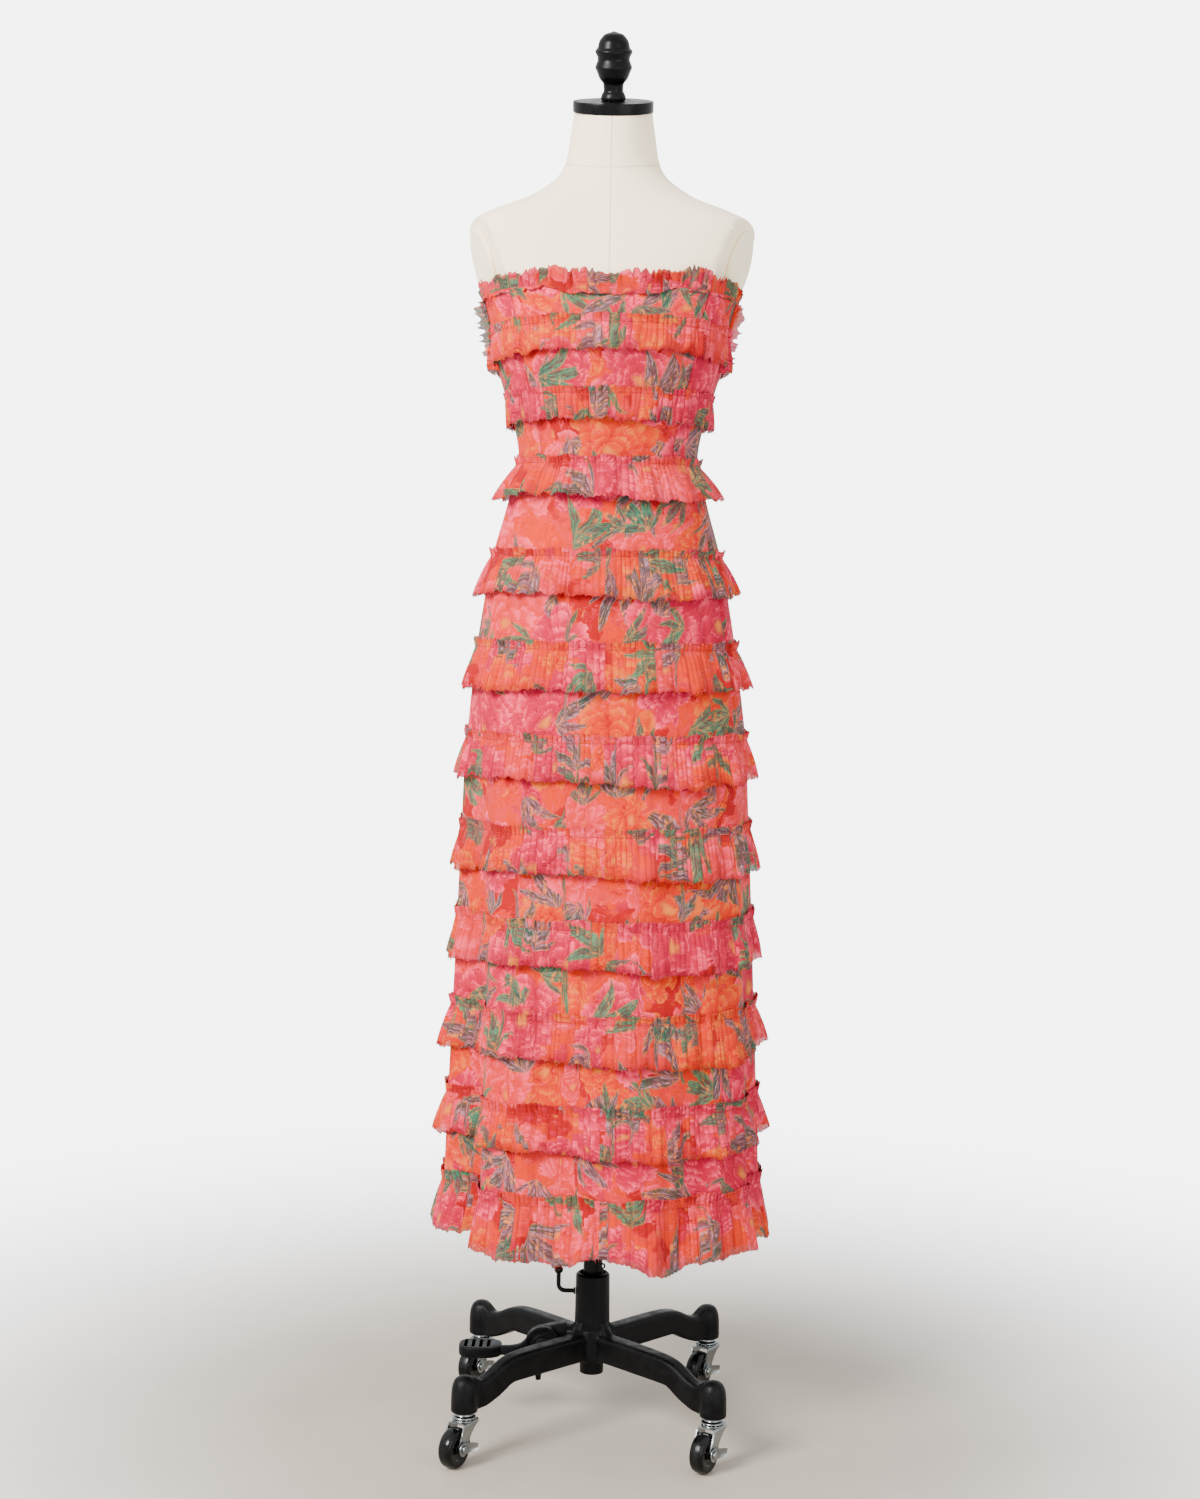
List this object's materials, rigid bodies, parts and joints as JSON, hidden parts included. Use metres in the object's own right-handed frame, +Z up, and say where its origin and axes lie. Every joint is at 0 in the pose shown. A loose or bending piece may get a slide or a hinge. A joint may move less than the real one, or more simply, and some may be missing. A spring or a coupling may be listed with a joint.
{
  "type": "strapless ruffle dress on a limbless dress form with a caster stand",
  "caption": "Strapless floral maxi dress with gathered ruffle tiers, worn by a limbless linen dress form on a rolling stand with a foot pedal.",
  "frame": {"origin": "on the floor under the middle of the stand's column", "axes": "+Z up, the dress faces -Y, +X is on the viewer's right"},
  "size_m": [0.4524, 0.3954, 1.8008],
  "materials": {
    "printed_mesh": "matte",
    "linen": "matte",
    "black_wood": "satin",
    "black_iron": "satin",
    "black_steel": "satin",
    "zinc": "satin",
    "black_rubber": "gloss"
  },
  "bodies": {
    "base": {"hub": "black_iron", "column": "black_iron", "lower_cup": "black_iron", "leg_fl": "black_iron", "leg_fr": "black_iron", "leg_br": "black_iron", "leg_bl": "black_iron", "stem_fl": "zinc", "stem_fr": "zinc", "stem_br": "zinc", "stem_bl": "zinc", "pedal_bracket": "black_iron", "column_clip": "black_steel"},
    "form": {"form_body": "linen", "arm_plate_left": "linen", "arm_plate_right": "linen", "neck_cap": "black_wood", "finial": "black_wood", "pole": "black_steel", "bodice_front": "printed_mesh", "bodice_side_left": "printed_mesh", "bodice_side_right": "printed_mesh", "bodice_back_left": "printed_mesh", "bodice_back_right": "printed_mesh", "skirt_front": "printed_mesh", "skirt_back_left": "printed_mesh", "skirt_back_right": "printed_mesh", "ruffle_01_neckline": "printed_mesh", "ruffle_02_bodice": "printed_mesh", "ruffle_03_bodice": "printed_mesh", "ruffle_04_waist": "printed_mesh", "ruffle_05_skirt": "printed_mesh", "ruffle_06_skirt": "printed_mesh", "ruffle_07_skirt": "printed_mesh", "ruffle_08_skirt": "printed_mesh", "ruffle_09_skirt": "printed_mesh", "ruffle_10_skirt": "printed_mesh", "ruffle_11_skirt": "printed_mesh", "ruffle_12_hem": "printed_mesh"},
    "foot_pedal": {"pedal": "black_iron"},
    "lever": {"clamp_lever": "black_steel"},
    "swivel_fl": {"fork_fl": "zinc"},
    "swivel_fr": {"fork_fr": "zinc"},
    "swivel_br": {"fork_br": "zinc"},
    "swivel_bl": {"fork_bl": "zinc"},
    "roller_fl": {"wheel_fl": "black_rubber"},
    "roller_fr": {"wheel_fr": "black_rubber"},
    "roller_br": {"wheel_br": "black_rubber"},
    "roller_bl": {"wheel_bl": "black_rubber"},
    "stop_fl": {"brake_fl": "zinc"},
    "stop_fr": {"brake_fr": "zinc"},
    "stop_br": {"brake_br": "zinc"},
    "stop_bl": {"brake_bl": "zinc"}
  },
  "joints": [
    {"name": "height", "type": "slide", "parent": "base", "child": "form", "axis": [0, 0, 1], "range_m": [-0.035, 0.06]},
    {"name": "pedal_press", "type": "hinge", "parent": "base", "child": "foot_pedal", "pos_m": [-0.0645, -0.01, 0.1065], "axis": [0, -1, 0], "range_deg": [0, 20], "stiffness_Nm_per_rad": 2, "springref_deg": -17.19},
    {"name": "lever_turn", "type": "hinge", "parent": "base", "child": "lever", "pos_m": [-0.0232, 0, 0.1758], "axis": [1, 0, 0], "range_deg": [-90, 90]},
    {"name": "swivel_turn_fl", "type": "hinge", "parent": "base", "child": "swivel_fl", "pos_m": [-0.15669, -0.15669, 0.056], "axis": [0, 0, 1], "continuous": true},
    {"name": "swivel_turn_fr", "type": "hinge", "parent": "base", "child": "swivel_fr", "pos_m": [0.15669, -0.15669, 0.056], "axis": [0, 0, 1], "continuous": true},
    {"name": "swivel_turn_br", "type": "hinge", "parent": "base", "child": "swivel_br", "pos_m": [0.15669, 0.15669, 0.056], "axis": [0, 0, 1], "continuous": true},
    {"name": "swivel_turn_bl", "type": "hinge", "parent": "base", "child": "swivel_bl", "pos_m": [-0.15669, 0.15669, 0.056], "axis": [0, 0, 1], "continuous": true},
    {"name": "wheel_roll_fl", "type": "hinge", "parent": "swivel_fl", "child": "roller_fl", "pos_m": [-0.16744, -0.17531, 0.0254], "axis": [0.866, -0.5, 0], "continuous": true},
    {"name": "wheel_roll_fr", "type": "hinge", "parent": "swivel_fr", "child": "roller_fr", "pos_m": [0.14594, -0.17531, 0.0254], "axis": [0.866, -0.5, 0], "continuous": true},
    {"name": "wheel_roll_br", "type": "hinge", "parent": "swivel_br", "child": "roller_br", "pos_m": [0.14594, 0.13807, 0.0254], "axis": [0.866, -0.5, 0], "continuous": true},
    {"name": "wheel_roll_bl", "type": "hinge", "parent": "swivel_bl", "child": "roller_bl", "pos_m": [-0.16744, 0.13807, 0.0254], "axis": [0.866, -0.5, 0], "continuous": true},
    {"name": "brake_press_fl", "type": "hinge", "parent": "swivel_fl", "child": "stop_fl", "pos_m": [-0.16744, -0.17531, 0.0254], "axis": [-0.866, 0.5, 0], "range_deg": [0, 20]},
    {"name": "brake_press_fr", "type": "hinge", "parent": "swivel_fr", "child": "stop_fr", "pos_m": [0.14594, -0.17531, 0.0254], "axis": [-0.866, 0.5, 0], "range_deg": [0, 20]},
    {"name": "brake_press_br", "type": "hinge", "parent": "swivel_br", "child": "stop_br", "pos_m": [0.14594, 0.13807, 0.0254], "axis": [-0.866, 0.5, 0], "range_deg": [0, 20]},
    {"name": "brake_press_bl", "type": "hinge", "parent": "swivel_bl", "child": "stop_bl", "pos_m": [-0.16744, 0.13807, 0.0254], "axis": [-0.866, 0.5, 0], "range_deg": [0, 20]}
  ]
}
